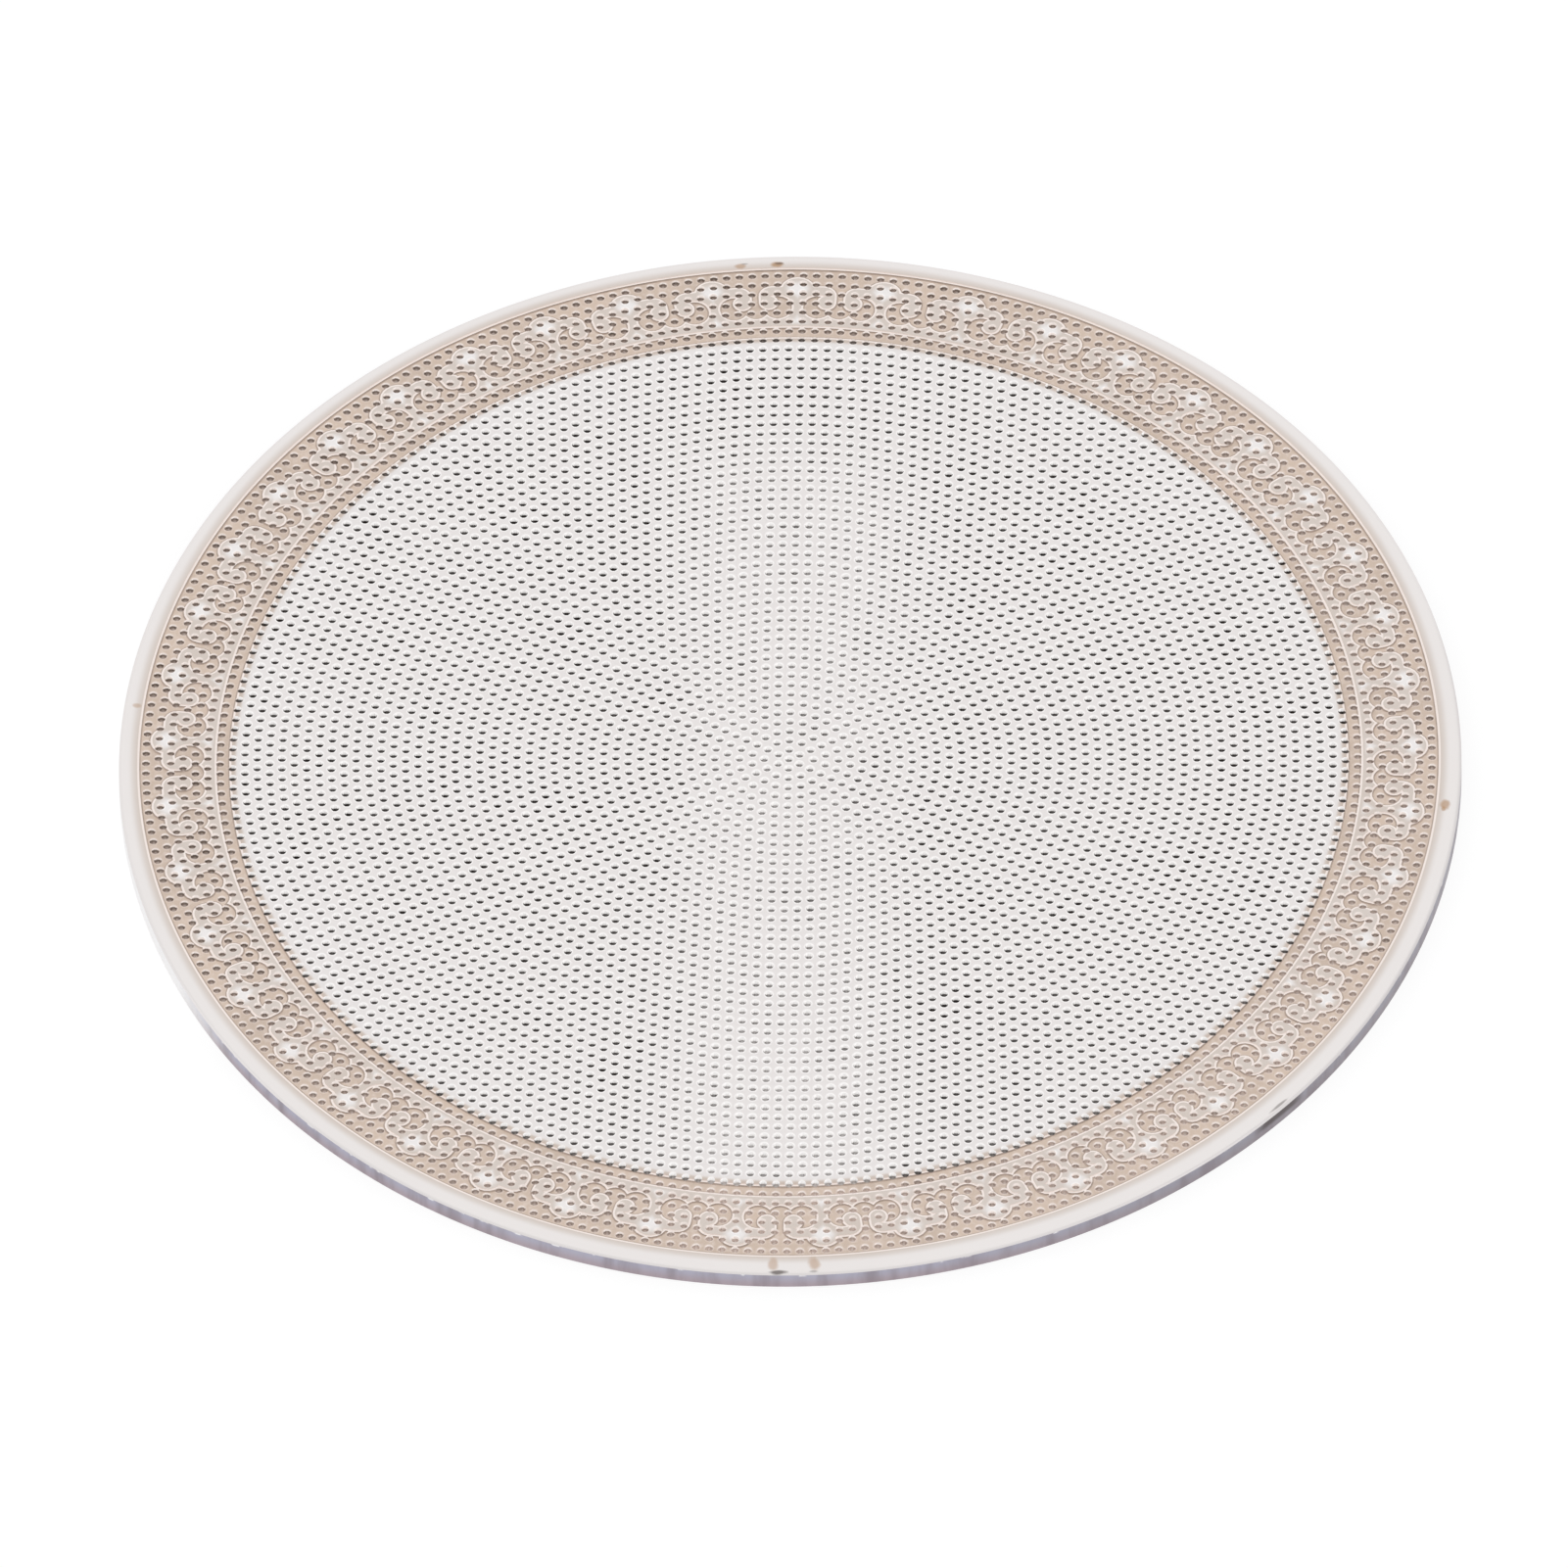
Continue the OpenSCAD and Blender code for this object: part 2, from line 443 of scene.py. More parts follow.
def etching_tree():
    """Node tree: one ornament's outline, repeated round the border, becomes the etched solid."""
    tree, graph, given = new_tree("Etched ground", {
        "Count": "Int", "Turn": "Float", "Border Radius": "Float", "Groove Radius": "Float",
        "Field Radius": "Float", "Floor": "Float", "Height": "Float", "Steel": "Material"})
    index = graph.add("GeometryNodeInputIndex")
    angle = given["Turn"] + index * FULL_TURN / given["Count"]
    spots = graph.add("GeometryNodeMeshLine", values={"Count": given["Count"], "Offset": (0, 0, 0)})
    ring = graph.add("GeometryNodeInstanceOnPoints", values={
        "Points": spots, "Instance": given["Geometry"],
        "Rotation": graph.add("FunctionNodeEulerToRotation", values={
            0: graph.add("ShaderNodeCombineXYZ", values={"Z": angle})})})
    outline = graph.add("GeometryNodeMeshToCurve", values={
        "Mesh": graph.add("GeometryNodeMergeByDistance", values={
            "Geometry": graph.add("GeometryNodeRealizeInstances", values={0: ring}),
            "Distance": SEAM})})

    def circle(radius):
        return graph.add("GeometryNodeCurvePrimitiveCircle",
                         values={"Resolution": CIRCLE_STEPS, "Radius": radius})

    border = filled(graph, [circle(given["Border Radius"]), outline],
                    given["Floor"], given["Height"])
    groove = filled(graph, [circle(given["Groove Radius"]), circle(given["Field Radius"])],
                    given["Floor"], given["Height"])
    both = graph.add("GeometryNodeJoinGeometry", values={0: [border, groove]})
    finished(graph, both, given["Steel"])
    return tree


def perforation_tree():
    """Node tree: etches the blank, drills its rings of holes and sets it in metres."""
    tree, graph, given = new_tree("Etch and perforate", {
        **{label: "Object" for label in ETCHINGS}, "First Ring": "Int", "Last Ring": "Int",
        "Centre Hole": "Int", "Ring Pitch": "Float", "Ring Holes": "Int",
        "Hole Radius": "Float", "Hole Sides": "Int", "Sheet": "Float", "Place": "Vector",
        "Steel": "Material"})
    start = graph.add("GeometryNodeRepeatInput").socket.node
    end = tree.nodes.new("GeometryNodeRepeatOutput")
    start.pair_with_output(end)
    graph.set(start.inputs["Iterations"], given["Last Ring"] - given["First Ring"] + 1)
    ring = Value(graph, start.outputs["Iteration"]) + given["First Ring"]
    spots = graph.add("GeometryNodeMeshCircle", values={
        "Vertices": ring * given["Ring Holes"], "Radius": ring * given["Ring Pitch"]})
    graph.set(end.inputs[0], graph.add("GeometryNodeJoinGeometry", values={
        0: [Value(graph, start.outputs[1]), spots]}))
    rings = graph.add("GeometryNodeTransform", values={
        "Geometry": Value(graph, end.outputs[0]), "Rotation": (0, 0, math.pi / 2)})
    centre = graph.add("GeometryNodeMeshLine", values={"Count": given["Centre Hole"]})
    drill = graph.add("GeometryNodeTransform", values={
        "Geometry": graph.add("GeometryNodeMeshCylinder", values={
            "Vertices": given["Hole Sides"], "Radius": given["Hole Radius"],
            "Depth": given["Sheet"] * 2}),
        "Translation": graph.add("ShaderNodeCombineXYZ", values={"Z": given["Sheet"] / 2})})
    drills = graph.add("GeometryNodeRealizeInstances", values={0: graph.add(
        "GeometryNodeInstanceOnPoints", values={
            "Points": graph.add("GeometryNodeJoinGeometry", values={0: [rings, centre]}),
            "Instance": drill})})
    etched = given["Geometry"]
    for label in ETCHINGS:
        cutter = graph.add("GeometryNodeObjectInfo", values={"Object": given[label]})
        etched = subtract(graph, etched, cutter.out("Geometry"))
    sheet = graph.add("GeometryNodeTransform", values={
        "Geometry": subtract(graph, etched, drills), "Scale": (MM, MM, MM),
        "Translation": given["Place"]})
    finished(graph, sheet, given["Steel"])
    return tree


def subtract(graph, solid, cutter):
    """The solid with the cutter's space taken out."""
    return graph.add("GeometryNodeMeshBoolean", {"operation": "DIFFERENCE", "solver": "MANIFOLD"},
                     {"Mesh 1": solid, "Mesh 2": cutter})


def evaluated(obj, tree, inputs, name):
    """The object's geometry after the tree, as a plain mesh object; the source is deleted."""
    modifier = obj.modifiers.new(tree.name, "NODES")
    modifier.node_group = tree
    identifiers = {s.name: s.identifier for s in tree.interface.items_tree if s.in_out == "INPUT"}
    for label, value in inputs.items():
        modifier[identifiers[label]] = value
    seen = obj.evaluated_get(bpy.context.evaluated_depsgraph_get())
    mesh = bpy.data.meshes.new_from_object(seen)
    mesh.name = name
    delete(obj)
    if not mesh.polygons:
        raise RuntimeError(f"{name} came out empty")
    piece = bpy.data.objects.new(name, mesh)
    bpy.context.scene.collection.objects.link(piece)
    return piece


# Finishes

def new_material(name, metallic):
    """A material, its graph and its main shader."""
    mat = bpy.data.materials.new(name)
    mat.use_nodes = True
    shader = mat.node_tree.nodes["Principled BSDF"]
    shader.inputs["Metallic"].default_value = metallic
    return mat, Graph(mat.node_tree), shader


def shaded(colour, share):
    """The colour at a share of its brightness."""
    return tuple(share * part for part in colour)


def noise(graph, place, scale):
    """Soft noise from 0 to 1, with its scale in cells per metre."""
    return graph.add("ShaderNodeTexNoise", values={"Vector": place, "Scale": scale, "Detail": 3.0})


def bump(graph, shader, height, strength, distance):
    """Tilts a shader's surface as this height would, over this distance in metres."""
    graph.set(shader.inputs["Normal"], graph.add("ShaderNodeBump", values={
        "Height": height, "Strength": strength, "Distance": distance}))


def object_place(graph):
    """Object coordinates."""
    return graph.add("ShaderNodeTexCoord").out("Object")


def in_parts(graph, place):
    """The x, y and z of a place, in millimetres."""
    parts = graph.add("ShaderNodeSeparateXYZ", values={0: place})
    return [parts.out(axis) / MM for axis in "XYZ"]


def pattern_place(graph, disc):
    """Object coordinates, then x, y and radius from the pattern's centre in millimetres."""
    place = object_place(graph)
    x, y, _ = in_parts(graph, place)
    x, y = x - disc.pattern[0], y - disc.pattern[1]
    return place, x, y, graph.length(x, y)


def from_hole(graph, disc, x, y, radius):
    """Distance from the centre of the nearest hole along its ring and outwards, in millimetres."""
    ring = graph.math("ROUND", radius / disc.ring_pitch)
    count = ring * disc.ring_holes
    share = graph.math("ARCTAN2", x * -1, y) * count / FULL_TURN
    along = (share - graph.math("ROUND", share)) / count * FULL_TURN * radius
    return along, radius - ring * disc.ring_pitch


def near_hole(graph, disc, x, y, radius):
    """1 at the lip of a hole, falling to 0 almost halfway to the next one."""
    away = graph.length(*from_hole(graph, disc, x, y, radius))
    return 1 - graph.ramp(away, disc.hole_d / 2, disc.ring_pitch / 2 - 0.01)


def satin_face(name, colours, disc, reach):
    """Satin steel with a painted highlight round the holes within a radius: its parts, and a colour
    to build on.
    """
    mat, graph, shader = new_material(name, 1.0)
    place, x, y, radius = pattern_place(graph, disc)
    clouds, grain = noise(graph, place, SATIN_CLOUDS), noise(graph, place, SATIN_GRAIN)
    base = graph.mix(clouds * 0.5, colours.satin, shaded(colours.satin, 0.94))
    # Painted highlight round the holes
    lip_highlight = near_hole(graph, disc, x, y, radius) * (1 - graph.ramp(radius, reach - 0.1, reach))
    base = graph.mix(lip_highlight * 0.9, base, colours.lip)
    graph.set(shader.inputs["Roughness"], 0.30 + grain * 0.16)
    bump(graph, shader, grain, 0.15, 0.01 * MM)
    return SimpleNamespace(mat=mat, graph=graph, colour=shader.inputs["Base Color"], base=base,
                           x=x, y=y, radius=radius, clouds=clouds, grain=grain)


def white_spots(face, disc, motif):
    """1 on the head of an ornament and at the foot of its stem, away from every etched edge."""
    graph, foot = face.graph, zone_radii(disc)[1]
    step = FULL_TURN / motif.count
    start = motif.count + 0.5 - (math.pi / 2 + motif.turn) / step
    share = graph.math("FRACT", graph.math("ARCTAN2", face.y, face.x) / step + start)
    across = graph.math("ABSOLUTE", share - 0.5) * (step * (foot + disc.border_w / 2))
    height = face.radius - foot

    def away(spot_x, spot_y):
        return graph.length(across - spot_x, height - spot_y)

    bay = away(motif.stem_w / 2 + motif.bay_r, motif.bay_r) - motif.bay_r
    middle = graph.ramp(bay, *WHITE_OFF_BAY)
    head = 1 - graph.ramp(away(0, motif.dome_y - 0.04), 0.2, motif.dome_r - 0.04)
    stem = 1 - graph.ramp(across, *WHITE_STEM)
    below = 1 - graph.ramp(height, *WHITE_LOW)
    above = graph.ramp(height, 0.05 - disc.base_w, 0.35 - disc.base_w)
    return middle * head + middle * stem * below * above


def corner_shade(face, disc):
    """How dark the rim is at its outside corner: more so at the front and at the right."""
    graph, disc_r = face.graph, disc.disc_d / 2
    out = graph.length(face.x + disc.pattern[0], face.y + disc.pattern[1])
    front = 1 - graph.ramp(face.y, *CORNER_FRONT)
    right = graph.ramp(face.x, *CORNER_RIGHT) * (1 - graph.ramp(face.y, *CORNER_END))
    return graph.ramp(out, disc_r - 0.16, disc_r) * (front * 0.12 + right * 0.18 + 0.06)


def with_tab_marks(face, base, colours, border):
    """The colour with the marks where the sheet was cut from its frame."""
    graph = face.graph
    for turn, width, out, reach, colour, strength in TAB_MARKS:
        c, s = math.cos(math.radians(turn)), math.sin(math.radians(turn))
        along = (face.x * c - face.y * s) / width
        off = (face.x * s + face.y * c - border - out) / reach
        spot = 1 - graph.ramp(graph.length(along, off) + face.grain * 0.8, 0.8, 1.5)
        base = graph.mix(spot * strength, base, getattr(colours, colour))
    return base


def satin_steel(colours, disc, motif):
    """Untouched face of the sheet: pale satin steel, warmer in the border, brown at the cut tabs,
    with painted highlights round the holes and painted shade along the groove and at the corner.
    """
    border, _, _, field = zone_radii(disc)
    face = satin_face("satin_steel", colours, disc, border)
    graph, radius = face.graph, face.radius
    white = white_spots(face, disc, motif)
    warm = graph.ramp(radius, field - 0.32, field - 0.1)
    warm = warm * (1 - graph.ramp(radius, border, border + 0.45) * 0.9)
    tan = warm * (0.95 - white * 0.95) * (0.55 + face.clouds * 0.5)
    base = graph.mix(tan, face.base, colours.raised)
    # Painted shade along the groove's inner edge
    groove_edge_shade = graph.ramp(radius, field - 0.26, field - 0.12)
    groove_edge_shade = groove_edge_shade * (1 - graph.ramp(radius, field, field + 0.1))
    base = graph.mix(groove_edge_shade * 0.5, base, colours.cove)
    rim = graph.ramp(radius, border + 0.15, border + 0.4) * 0.2
    base = graph.mix(warm * white * 0.3 + rim, base, colours.lip)
    # Painted shade at the rim's outside corner
    base = graph.mix(corner_shade(face, disc), base, colours.side_shade)
    graph.set(face.colour, with_tab_marks(face, base, colours, border))
    return face.mat


def plain_steel(colours, disc):
    """Underside of the sheet: plain satin steel with a painted highlight round the holes."""
    face = satin_face("plain_steel", colours, disc, (BORDER_ZONE[2] + 0.5) * disc.ring_pitch)
    face.graph.set(face.colour, face.base)
    return face.mat


def etched_ground(colours, disc):
    """Half-etched ground: dull tan steel, mottled, with a painted highlight round the holes."""
    mat, graph, shader = new_material("etched_ground", 0.75)
    place, x, y, radius = pattern_place(graph, disc)
    clouds, grain = noise(graph, place, GROUND_CLOUDS), noise(graph, place, GROUND_GRAIN)
    base = graph.mix(graph.ramp(clouds, 0.35, 0.7) * 0.7, colours.ground,
                     shaded(colours.ground, 0.86))
    base = graph.mix(graph.ramp(grain, 0.45, 0.8) * 0.35, base, colours.ledge)
    # Painted highlight round the holes
    base = graph.mix(near_hole(graph, disc, x, y, radius) * 0.3, base, colours.ledge)
    graph.set(shader.inputs["Base Color"], base)
    graph.set(shader.inputs["Roughness"], 0.46 + grain * 0.2)
    bump(graph, shader, grain, 0.35, 0.02 * MM)
    return mat


def etched_edge(colours):
    """Bright edge where the etching stops; its brightness is a painted highlight."""
    mat, graph, shader = new_material("etched_edge", 1.0)
    grain = noise(graph, object_place(graph), LEDGE_GRAIN)
    graph.set(shader.inputs["Base Color"], graph.mix(
        grain * 0.5, colours.ledge, shaded(colours.ledge, 0.9)))
    graph.set(shader.inputs["Roughness"], 0.32 + grain * 0.2)
    return mat


def etched_cove(colours):
    """Dark cove at the foot of an etched edge; its darkness is a painted shadow."""
    mat, graph, shader = new_material("etched_cove", 0.85)
    grain = noise(graph, object_place(graph), COVE_GRAIN)
    graph.set(shader.inputs["Base Color"], graph.mix(
        graph.ramp(grain, 0.35, 0.7) * 0.6, colours.cove, shaded(colours.cove, 0.8)))
    graph.set(shader.inputs["Roughness"], 0.42 + grain * 0.2)
    return mat


def hole_wall(name, disc, lip, mouth, deep, fade, reach, glow):
    """Wall of a hole from its lip down: rounded, a painted highlight at the back of its mouth and
    painted shade further in.

    The painted highlight at the back reaches down to one depth, and below the depth of its glow
    the wall is painted pale again, as light through the hole. The painted shade fades towards the
    front and the right of the disc and along its middle, as painted light by place, and clusters
    of holes are darker.
    """
    mat, graph, shader = new_material(name, 1.0)
    place, x, y, radius = pattern_place(graph, disc)
    depth = lip - in_parts(graph, place)[2]
    wall_shade_noise, patches, clusters = (noise(graph, place, scale)
                                for scale in (WALL_SHADE_NOISE, WALL_PATCHES, WALL_CLUSTERS))
    along, out = from_hole(graph, disc, x, y, radius)
    # Painted highlight at the back of each hole's mouth
    back = graph.ramp((along * x + out * y) / radius, 0.0, 0.48 * disc.hole_d)
    # Painted light by place: the painted shade is paler at the front, the right and along the middle
    front = 1 - graph.ramp(y, *PALE_FRONT)
    side = graph.ramp(x, *PALE_RIGHT)
    middle = 1 - graph.ramp(graph.math("ABSOLUTE", x), *PALE_MIDDLE)
    middle = middle * (1 - graph.ramp(y, *PALE_END))
    pale = front * (fade * 0.6) + side * (fade - 0.3) + middle * 0.5 + (patches - 0.5) * 0.3
    pale = pale + 0.2 - graph.ramp(clusters, 0.55, 0.68) * 0.3
    # Painted shade deeper in the hole, its edge made ragged by noise
    shade = depth + 0.02 + (wall_shade_noise - 0.5) * 0.06 - back * reach
    # Below the glow depth the painted shade gives way to painted light
    dark = graph.ramp(shade, -0.02, 0.05) * (1 - graph.ramp(depth, glow, glow + 0.15) * 0.7)
    graph.set(shader.inputs["Base Color"], graph.mix(dark, mouth, graph.mix(pale, deep, mouth)))
    graph.set(shader.inputs["Roughness"], 0.35 + wall_shade_noise * 0.2)
    bump(graph, shader, graph.math("MINIMUM", depth, reach) * MM, 1.0, 1.0)
    return mat


def cut_edge(colours):
    """Outside edge of the sheet: grey with upright streaks, a painted highlight in a pale stretch at
    the left and in glints along its top, and darker with painted shade at the right.
    """
    mat, graph, shader = new_material("cut_edge", 0.9)
    place = object_place(graph)
    x, y, z = in_parts(graph, place)
    upright = graph.add("ShaderNodeMapping", values={"Vector": place, "Scale": (1, 1, 0.15)})
    streaks, glints = noise(graph, upright, SIDE_STREAKS), noise(graph, place, SIDE_STREAKS)
    base = graph.mix(graph.ramp(z, *SIDE_RISE), colours.side, colours.side_top)
    # Painted shade at the right
    base = graph.mix(graph.ramp(x, *SIDE_RIGHT) * 0.6, base, colours.side_shade)
    base = graph.mix(graph.ramp(streaks, 0.4, 0.75) * 0.6, base, shaded(colours.side, 0.6))
    # Painted glints along the top
    corner = graph.ramp(z, *GLINT_RISE) * graph.ramp(glints, 0.58, 0.68)
    base = graph.mix(corner * 0.9, base, colours.side_highlight)
    # Painted highlight in a pale stretch at the left
    left = (1 - graph.ramp(x, *SIDE_LEFT)) * (1 - graph.ramp(y, *SIDE_END))
    base = graph.mix(left * 0.95, base, colours.side_highlight)
    off_x, off_y = x - SMUDGE_X, y - SMUDGE_Y
    smudge = 1 - graph.ramp(off_x * off_x + off_y * off_y, 0.3, 2.0)
    base = graph.mix(smudge * graph.ramp(z, *SMUDGE_RISE) * 0.85, base, colours.soot)
    graph.set(shader.inputs["Base Color"], base)
    graph.set(shader.inputs["Roughness"], 0.34 + streaks * 0.2)
    return mat


def finishes(scene):
    """The disc's materials, made once, by name."""
    disc, motif = in_mm(scene.disc_sizes), in_mm(scene.disc_ornament)
    colours = scene.disc_finishes
    top, ground = disc.sheet_t, disc.sheet_t - disc.etch_depth
    makers = {
        "satin_steel": lambda: satin_steel(colours, disc, motif),
        "plain_steel": lambda: plain_steel(colours, disc),
        "etched_ground": lambda: etched_ground(colours, disc),
        "etched_edge": lambda: etched_edge(colours),
        "etched_cove": lambda: etched_cove(colours),
        # Holes: painted highlight at the mouth, painted shade deeper in
        "hole_wall": lambda: hole_wall("hole_wall", disc, top, colours.lip, colours.wall,
                                       fade=0.3, reach=0.2, glow=top),
        "etched_hole_wall": lambda: hole_wall("etched_hole_wall", disc, ground, colours.ledge,
                                              colours.etched_wall_shade, fade=0.65, reach=0.1, glow=0.16),
        "cut_edge": lambda: cut_edge(colours)}
    return {name: bpy.data.materials.get(name) or make() for name, make in makers.items()}


def face_finish(face, mesh, disc):
    """Name of a face's finish, from where it lies and which way it faces."""
    spot, up = face.center / MM, face.normal.z
    depth = disc.sheet_t - spot.z
    if math.hypot(spot.x, spot.y) > disc.disc_d / 2 - disc.edge_soft:
        return "cut_edge" if up < FLAT else "satin_steel"
    if up < -FLAT:
        return "plain_steel"
    if up > FLAT:
        if depth < disc.ledge_depth / 2:
            return "satin_steel"
        if depth < (disc.ledge_depth + disc.cove_depth) / 2:
            return "etched_edge"
        return "etched_cove" if depth < (disc.cove_depth + disc.etch_depth) / 2 else "etched_ground"
    foot = max(disc.sheet_t - mesh.vertices[i].co.z / MM for i in face.vertices)
    if foot < disc.etch_depth * STEP_SLACK:
        return "etched_edge" if foot < disc.ledge_depth * STEP_SLACK else "etched_cove"
    out = math.hypot(spot.x - disc.pattern[0], spot.y - disc.pattern[1])
    return "hole_wall" if out < zone_radii(disc)[3] else "etched_hole_wall"


def finish(piece, scene):
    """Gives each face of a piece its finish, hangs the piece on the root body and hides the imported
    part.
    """
    mesh, mats, disc = piece.data, finishes(scene), in_mm(scene.disc_sizes)
    mesh.materials.clear()
    for mat in mats.values():
        mesh.materials.append(mat)
    order = {name: i for i, name in enumerate(mats)}
    for face in mesh.polygons:
        face.material_index = order[face_finish(face, mesh, disc)]
    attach(piece, BODY)
    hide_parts(NODE)


# Operators

def drill_zone(context, name, first, last, blank, cutters=()):
    """Builds one zone of the sheet, etched and perforated."""
    disc = in_mm(context.scene.disc_sizes)
    tree = bpy.data.node_groups.get("Etch and perforate") or perforation_tree()
    piece = evaluated(blank, tree, {
        **dict(zip(ETCHINGS, cutters)),
        "First Ring": max(first, 1), "Last Ring": last, "Centre Hole": int(first == 0),
        "Ring Pitch": disc.ring_pitch, "Ring Holes": disc.ring_holes,
        "Hole Radius": disc.hole_d / 2, "Hole Sides": disc.hole_sides, "Sheet": disc.sheet_t,
        "Place": (*context.scene.disc_sizes.pattern, 0),
        "Steel": finishes(context.scene)["satin_steel"]}, name)
    finish(piece, context.scene)


def ring_blank(name, disc, first, last):
    """A plain ring or disc of the sheet that carries these rings of holes."""
    inside, outside = max(0, (first - 0.5) * disc.ring_pitch), (last + 0.5) * disc.ring_pitch
    top = disc.sheet_t
    return turned(name + "_blank", [(inside, 0, CENTRE), (outside, 0, CENTRE),
                                    (outside, top, CENTRE), (inside, top, CENTRE)])


def rim_blank(name, disc, first):
    """The outermost ring of the sheet, with its softened edge about the disc's own centre."""
    inside, outside = (first - 0.5) * disc.ring_pitch, disc.disc_d / 2
    soft, top = disc.edge_soft, disc.sheet_t
    middle = [-part for part in disc.pattern]
    return turned(name + "_blank", [
        (inside, 0, CENTRE), (outside - soft, 0, middle), (outside, soft, middle),
        (outside, top - soft, middle), (outside - soft, top, middle), (inside, top, CENTRE)])


class FILTERDISC_OT_field(bpy.types.Operator):
    """Build the perforated field inside the border"""
    bl_idname = "filter_disc.field"
    bl_label = "Perforated Field"

    def execute(self, context):
        disc = in_mm(context.scene.disc_sizes)
        for name, first, last in FIELD_ZONES:
            drill_zone(context, name, first, last, ring_blank(name, disc, first, last))
        return {"FINISHED"}


class FILTERDISC_OT_border(bpy.types.Operator):
    """Build the etched border with its ornament, groove and plain rim"""
    bl_idname = "filter_disc.border"
    bl_label = "Etched Border"

    def execute(self, context):
        disc, motif = in_mm(context.scene.disc_sizes), in_mm(context.scene.disc_ornament)
        border, _, groove, field = zone_radii(disc)
        tree = etching_tree()
        half_ledge = disc.ledge_w / 2
        steps = ((disc.etch_depth, half_ledge + disc.cove_w), (disc.cove_depth, half_ledge),
                 (disc.ledge_depth, -half_ledge))
        cutters = []
        for label, (depth, grow) in zip(ETCHINGS, steps):
            points = motif_outline(disc, motif, grow)
            edges = [(i, i + 1) for i in range(len(points) - 1)]
            strand = mesh_object("motif_" + label, points, edges=edges)
            cutters.append(evaluated(strand, tree, {
                "Count": motif.count, "Turn": motif.turn, "Border Radius": border - grow,
                "Groove Radius": groove - grow, "Field Radius": field + grow,
                "Floor": disc.sheet_t - depth, "Height": 2 * depth,
                "Steel": finishes(context.scene)["etched_edge"]}, "etching_" + label))
        name, first, last = GROOVE_ZONE
        drill_zone(context, name, first, last, ring_blank(name, disc, first, last), cutters)
        name, first, last = BORDER_ZONE
        drill_zone(context, name, first, last, rim_blank(name, disc, first), cutters)
        for cutter in cutters:
            delete(cutter)
        return {"FINISHED"}


class FILTERDISC_OT_stage(bpy.types.Operator):
    """Set the floor, the light and the camera"""
    bl_idname = "filter_disc.stage"
    bl_label = "Stage"

    def execute(self, context):
        stage, scene = context.scene.disc_stage, context.scene
        make_floor()
        make_world(stage)
        for name, place, width, share in LAMPS:
            lamp = bpy.data.lights.new(name, "AREA")
            lamp.size, lamp.energy = width, stage.key * share
            obj = bpy.data.objects.new(name, lamp)
            obj.location = place
            obj.rotation_euler = Vector(place).to_track_quat("Z", "Y").to_euler()
            scene.collection.objects.link(obj)
        make_camera(stage, scene)
        scene.view_settings.view_transform = "Standard"
        return {"FINISHED"}


def seen_directly(graph):
    """1 where a surface is seen by the camera or in a reflection, 0 where it only lights others."""
    path = graph.add("ShaderNodeLightPath")
    return graph.math("MAXIMUM", graph.math("MAXIMUM", path, path.out("Is Glossy Ray")),
                      path.out("Is Transmission Ray"))


def make_floor():
    """White floor that keeps the disc's shadow."""
    corners = ((-1, -1), (1, -1), (1, 1), (-1, 1))
    points = [(FLOOR_HALF * x, FLOOR_HALF * y, -FLOOR_GAP) for x, y in corners]
    floor = mesh_object("floor", points, faces=[(0, 1, 2, 3)])
    mat, graph, shader = new_material("floor_white", 0.0)
    shader.inputs["Base Color"].default_value = (FLOOR_WHITE, FLOOR_WHITE, FLOOR_WHITE, 1)
    shader.inputs["Roughness"].default_value = 0.9
    shader.inputs["Specular IOR Level"].default_value = 0.0
    glow = graph.add("ShaderNodeEmission", values={"Color": (1, 1, 1, 1), "Strength": FLOOR_GLOW})
    out = mat.node_tree.nodes["Material Output"]
    graph.set(out.inputs["Surface"], graph.add("ShaderNodeMixShader", values={
        0: seen_directly(graph) * GLOW_SHARE, 1: Value(graph, shader.outputs[0]), 2: glow}))
    floor.data.materials.append(mat)


def make_world(stage):
    """Even white light from all round."""
    world = bpy.data.worlds.new("studio")
    world.use_nodes = True
    graph = Graph(world.node_tree)
    back = world.node_tree.nodes["Background"]
    back.inputs["Color"].default_value = (1, 1, 1, 1)
    graph.set(back.inputs["Strength"], seen_directly(graph) * (1 - stage.fill) + stage.fill)
    bpy.context.scene.world = world


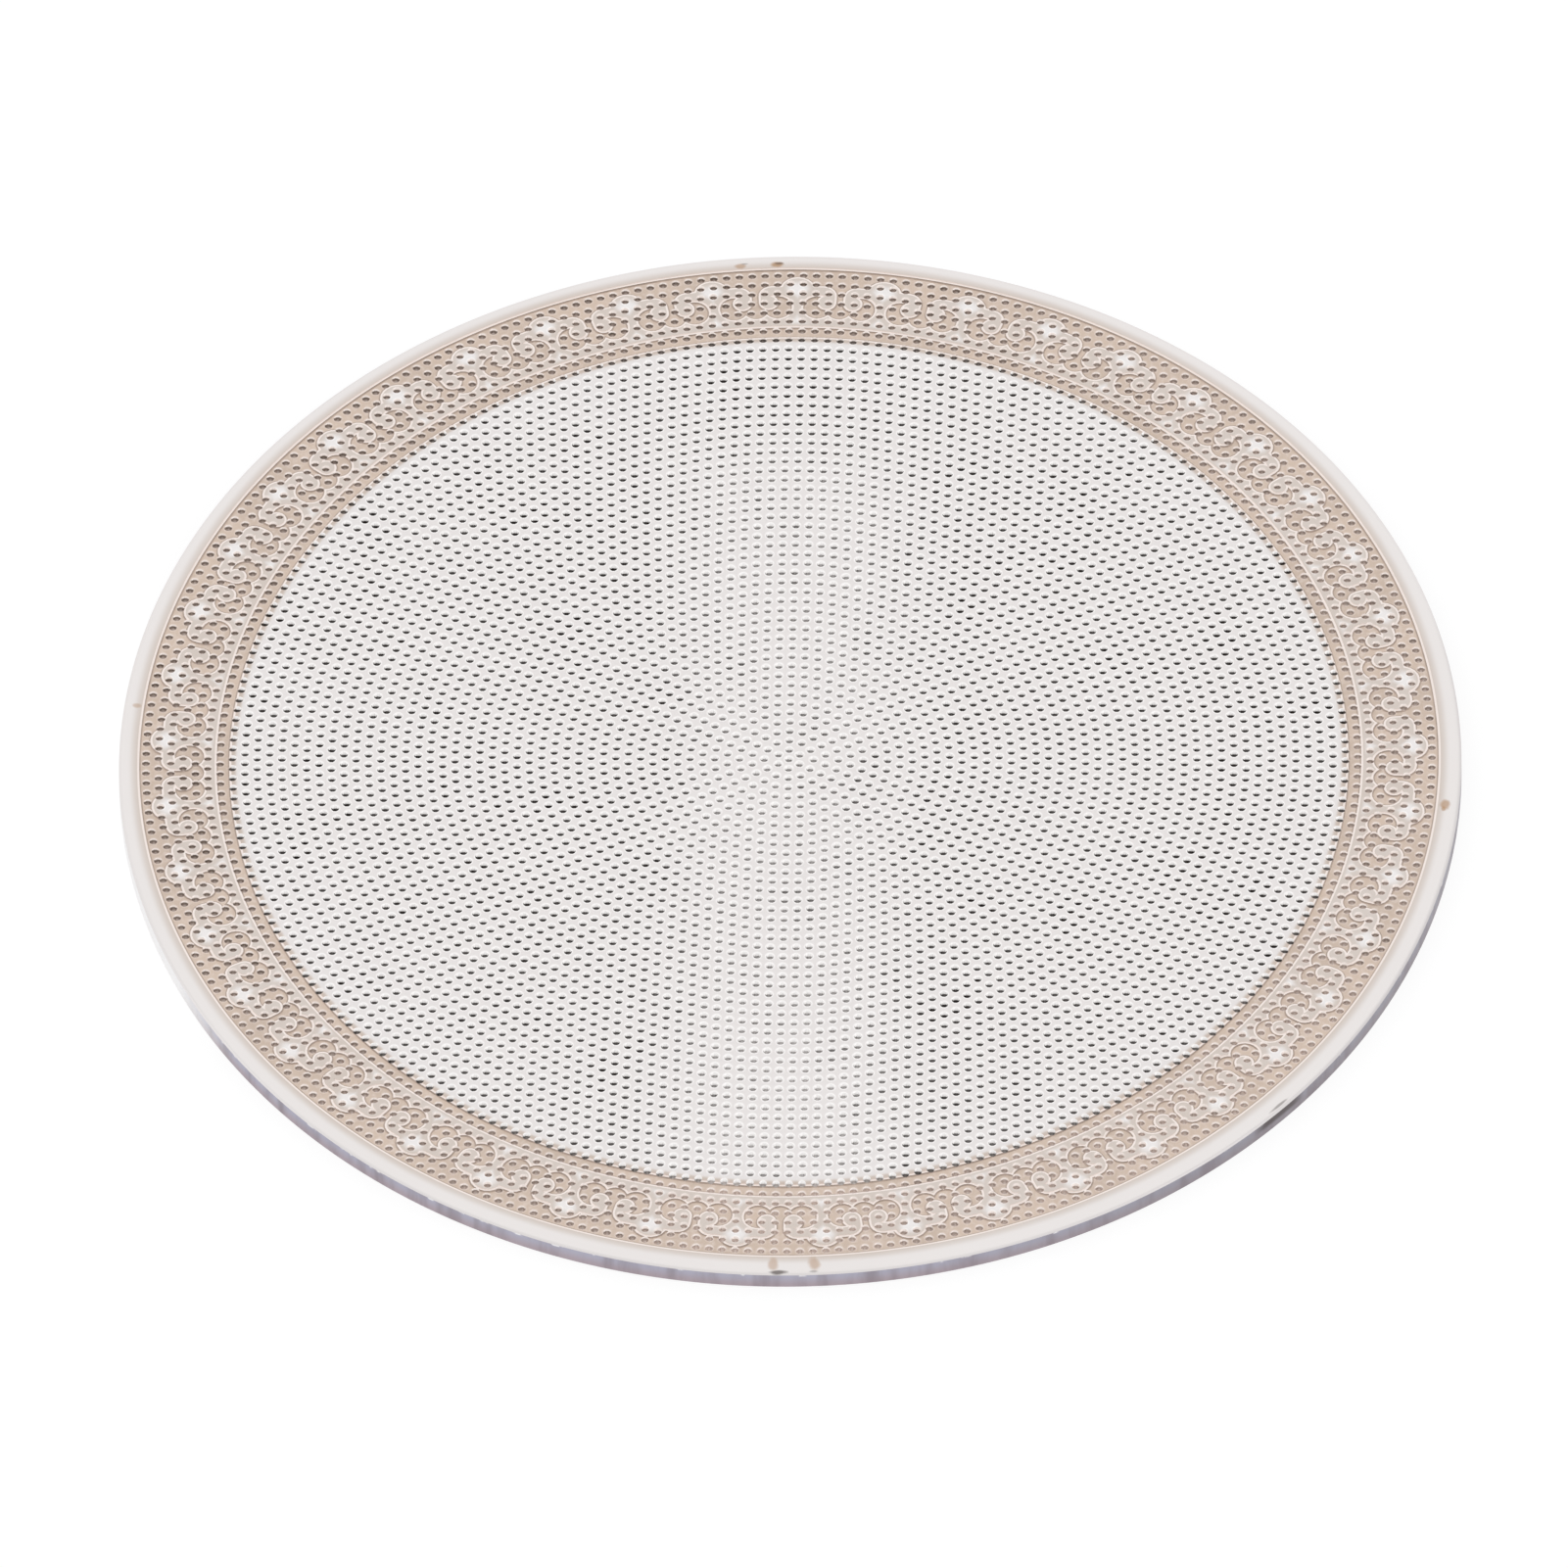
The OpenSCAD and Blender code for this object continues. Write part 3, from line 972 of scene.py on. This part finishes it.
def make_camera(stage, scene):
    """Camera at the viewing angle of the photograph."""
    turn = Matrix.Rotation(stage.azimuth, 3, "Z")
    forward = Vector((0, math.cos(stage.elevation), -math.sin(stage.elevation)))
    right = Vector((1, 0, 0))
    up = right.cross(forward)
    c, s = math.cos(stage.roll), math.sin(stage.roll)
    axes = Matrix((c * right + s * up, c * up - s * right, -forward)).transposed()
    top = Vector((0, 0, HIGH.z * MM))
    spot = turn @ (Vector((*stage.aim, 0)) - forward * stage.distance) + top
    data = bpy.data.cameras.new("photo_camera")
    data.sensor_width, data.lens, data.clip_end = SENSOR_W, stage.lens, CLIP_END
    camera = bpy.data.objects.new("photo_camera", data)
    camera.matrix_world = Matrix.Translation(spot) @ (turn @ axes).to_4x4()
    scene.collection.objects.link(camera)
    scene.camera = camera


class FILTERDISC_PT_panel(bpy.types.Panel):
    """Filter disc"""
    bl_label = "Filter Disc"
    bl_idname = "FILTERDISC_PT_panel"
    bl_space_type = "VIEW_3D"
    bl_region_type = "UI"
    bl_category = "Filter Disc"

    def draw(self, context):
        for group in GROUPS:
            box = self.layout.box()
            settings = getattr(context.scene, group)
            for name in settings.bl_rna.properties.keys():
                if name not in ("rna_type", "name"):
                    box.prop(settings, name)
        for operator in OPERATORS:
            self.layout.operator(operator.bl_idname)


GROUPS = {"disc_sizes": DiscSizes, "disc_ornament": OrnamentSizes,
          "disc_finishes": DiscFinishes, "disc_stage": StageSettings}
OPERATORS = (FILTERDISC_OT_field, FILTERDISC_OT_border, FILTERDISC_OT_stage)
CLASSES = (*GROUPS.values(), *OPERATORS, FILTERDISC_PT_panel)


def register():
    for cls in CLASSES:
        bpy.utils.register_class(cls)
    for name, cls in GROUPS.items():
        setattr(bpy.types.Scene, name, PointerProperty(type=cls))


def unregister():
    for name in GROUPS:
        delattr(bpy.types.Scene, name)
    for cls in reversed(CLASSES):
        bpy.utils.unregister_class(cls)


def main():
    register()
    bpy.ops.filter_disc.field()
    bpy.ops.filter_disc.border()
    bpy.ops.filter_disc.stage()


if __name__ == "__main__":
    main()
